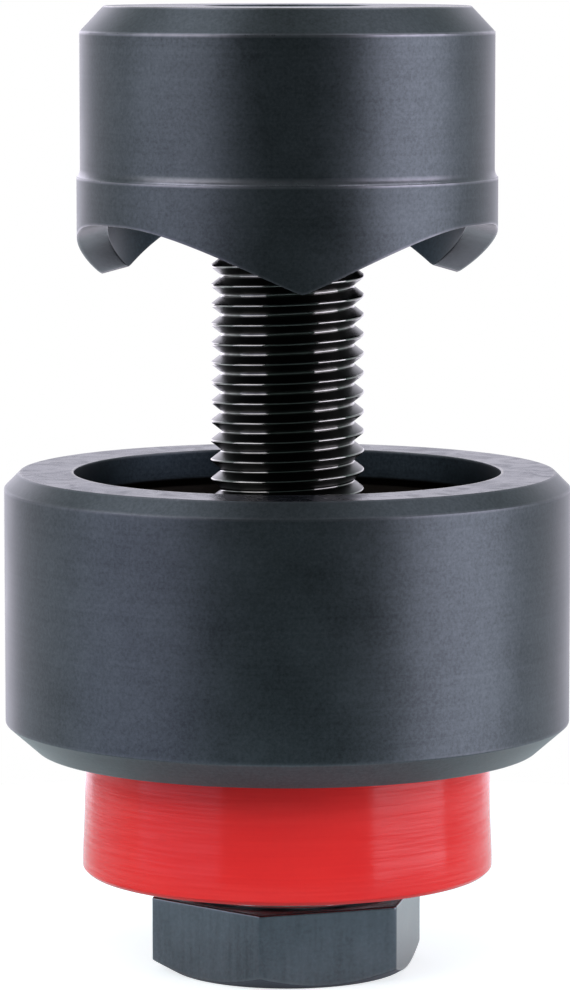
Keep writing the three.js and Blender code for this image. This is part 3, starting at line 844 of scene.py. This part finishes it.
def cove_corners():
    """The concave step from the land to the body: a circle's arc from 33 to 90 degrees, stretched
    so that its sine runs from the land's radius to the body's, and its cosine up the height. Only
    the first corner, with the land, has a fillet and a rub, whose bright line is partly edge wear
    and partly a painted highlight."""
    swing = np.radians([33, 40, 48, 57, 67, 78, 90])
    inwards = (np.sin(swing) - np.sin(swing[0])) / (1 - np.sin(swing[0]))
    upwards = 1 - np.cos(swing) / np.cos(swing[0])
    corners = np.zeros((len(swing), 4))
    corners[:, 0] = LAND_RADIUS - (LAND_RADIUS - BODY_RADIUS) * inwards
    corners[:, 1] = COVE_BOTTOM + COVE_HEIGHT * upwards
    corners[0, 2:] = (0.08, 0.5)
    return corners


cove = cove_corners()
mouth_side = [
    (MOUTH_RADIUS, CEILING, 0, 0),
    (CAVITY_RADIUS - CEILING_CHAMFER, CEILING, 0.8, 0),
    (CAVITY_RADIUS, CEILING - CEILING_CHAMFER, 0.8, 0),
]
teeth = [(CAVITY_RADIUS, 0, 0.06, 0.2), (LAND_RADIUS, 0, 0.06, 0.35)]
crown_side = [
    # The crown's edges are rubbed 0.5: partly edge wear, partly a painted highlight line.
    (BODY_RADIUS, PUNCH_TOP - CROWN_CHAMFER_DOWN, 0.15, 0.5),
    (BODY_RADIUS - CROWN_CHAMFER_IN, PUNCH_TOP, 0.15, 0.5),
    (MOUTH_RADIUS, PUNCH_TOP, 0, 0),
]
punch_corners = np.tile([*mouth_side, *teeth, *cove, *crown_side], (ROUND_COLUMNS, 1, 1))
outer_edge = tooth_edge(round_angles)
inner_edge = outer_edge + (LAND_RADIUS - CAVITY_RADIUS) * TOOTH_SLOPE
punch_corners[:, len(mouth_side), 1] = inner_edge
punch_corners[:, len(mouth_side) + 1, 1] = outer_edge
punch_fillets = punch_corners[..., 2]
punch_rubs_and_highlights = punch_corners[..., 3]
punch_outline, punch_rub_and_highlight = rounded(punch_corners[..., :2], punch_fillets, punch_rubs_and_highlights)

# The cove is painted towards bare steel at its foot, fading upwards and least between two teeth:
# partly rubbed wear, mostly a painted highlight, which fades out between the teeth. Each corner of
# the outline has become seven rows of points: five on its arc and two on the straight after it.
CORNER_ROWS = 7
cove_end = len(mouth_side) + len(teeth) + len(cove)
cove_rows = slice((cove_end - len(cove) + 1) * CORNER_ROWS, cove_end * CORNER_ROWS - 2)
cove_rise = (punch_outline[:, cove_rows, 1] - COVE_BOTTOM) / COVE_HEIGHT
over_tooth = np.cos(TOOTH_COUNT * (round_angles - FIRST_TOOTH))
cove_highlight_fade = 0.05 + 0.95 * np.clip(2 + 2 * over_tooth, 0, 1)
punch_rub_and_highlight[:, cove_rows] = COVE_HIGHLIGHT_RUB * np.clip(1 - cove_rise, 0, 1) * cove_highlight_fade[:, None]

punch_outline = punch_outline[:, :-2]
punch_points = revolved(punch_outline, round_angles)
punch_quads = lattice(punch_outline.shape[1], ROUND_COLUMNS)

nut_outer = SHANK_RADIUS + NUT_GAP
nut_inner = THREAD_ROOT + NUT_GAP
groove_half = 0.09 + NUT_FLANK_GAP
ridge_half = PITCH / 8 - NUT_FLANK_GAP
nut_corners = [
    (nut_outer, -groove_half),
    (nut_outer, groove_half),
    (nut_inner, PITCH / 2 - ridge_half),
    (nut_inner, PITCH / 2 + ridge_half),
]
nut_profile, _ = rounded(nut_corners, [0.12, 0.12, 0.05, 0.05], 0, (0, PITCH), 2, 0.1)
radius, angle, height, nut_quads = helical_band(nut_profile, ROUND_COLUMNS, CEILING, PUNCH_TOP)
sink = np.maximum(MOUTH_RADIUS - PUNCH_TOP + height, MOUTH_RADIUS + CEILING - height)
nut_points = placed(np.maximum(radius, sink), angle, height)
punch_points, punch_quads, punch_rub_and_highlight = joined(
    (punch_points, punch_quads, punch_rub_and_highlight[:, :-2].ravel()),
    (nut_points, nut_quads[:, ::-1], unworn(nut_points)),
)
ground_teeth = steel(
    "ground_teeth",
    (0.076, 0.068, 0.084),
    (0.4, 0.4, 0.4),
    0.22,
    0.95,
    grain=0.9,
    lines=0.2,
    edge=0.9,
    smudges=0.04,
)
punch = make_piece(
    "blacked_punch",
    punch_points,
    punch_quads,
    punch_rub_and_highlight,
    "punch",
    ["punch"],
    [blacked_tool_steel, ground_face, ground_teeth, recess_painted_shade],
)


def punch_finish(radius, height, up):
    """The outside is number 0, and the ground crown, the ground teeth and the cavity follow; the
    cavity takes a darker copy of the steel that paints its shade.
    """
    on_crown = height > PUNCH_TOP - 0.05
    on_teeth = (height < CEILING - CEILING_CHAMFER) & (up < -0.4)
    in_cavity = (height < CEILING - 1) & (radius < CAVITY_RADIUS + 0.04) & (up > -0.4)
    return on_crown + 2 * on_teeth + 3 * in_cavity


finish_faces(punch, punch_finish)
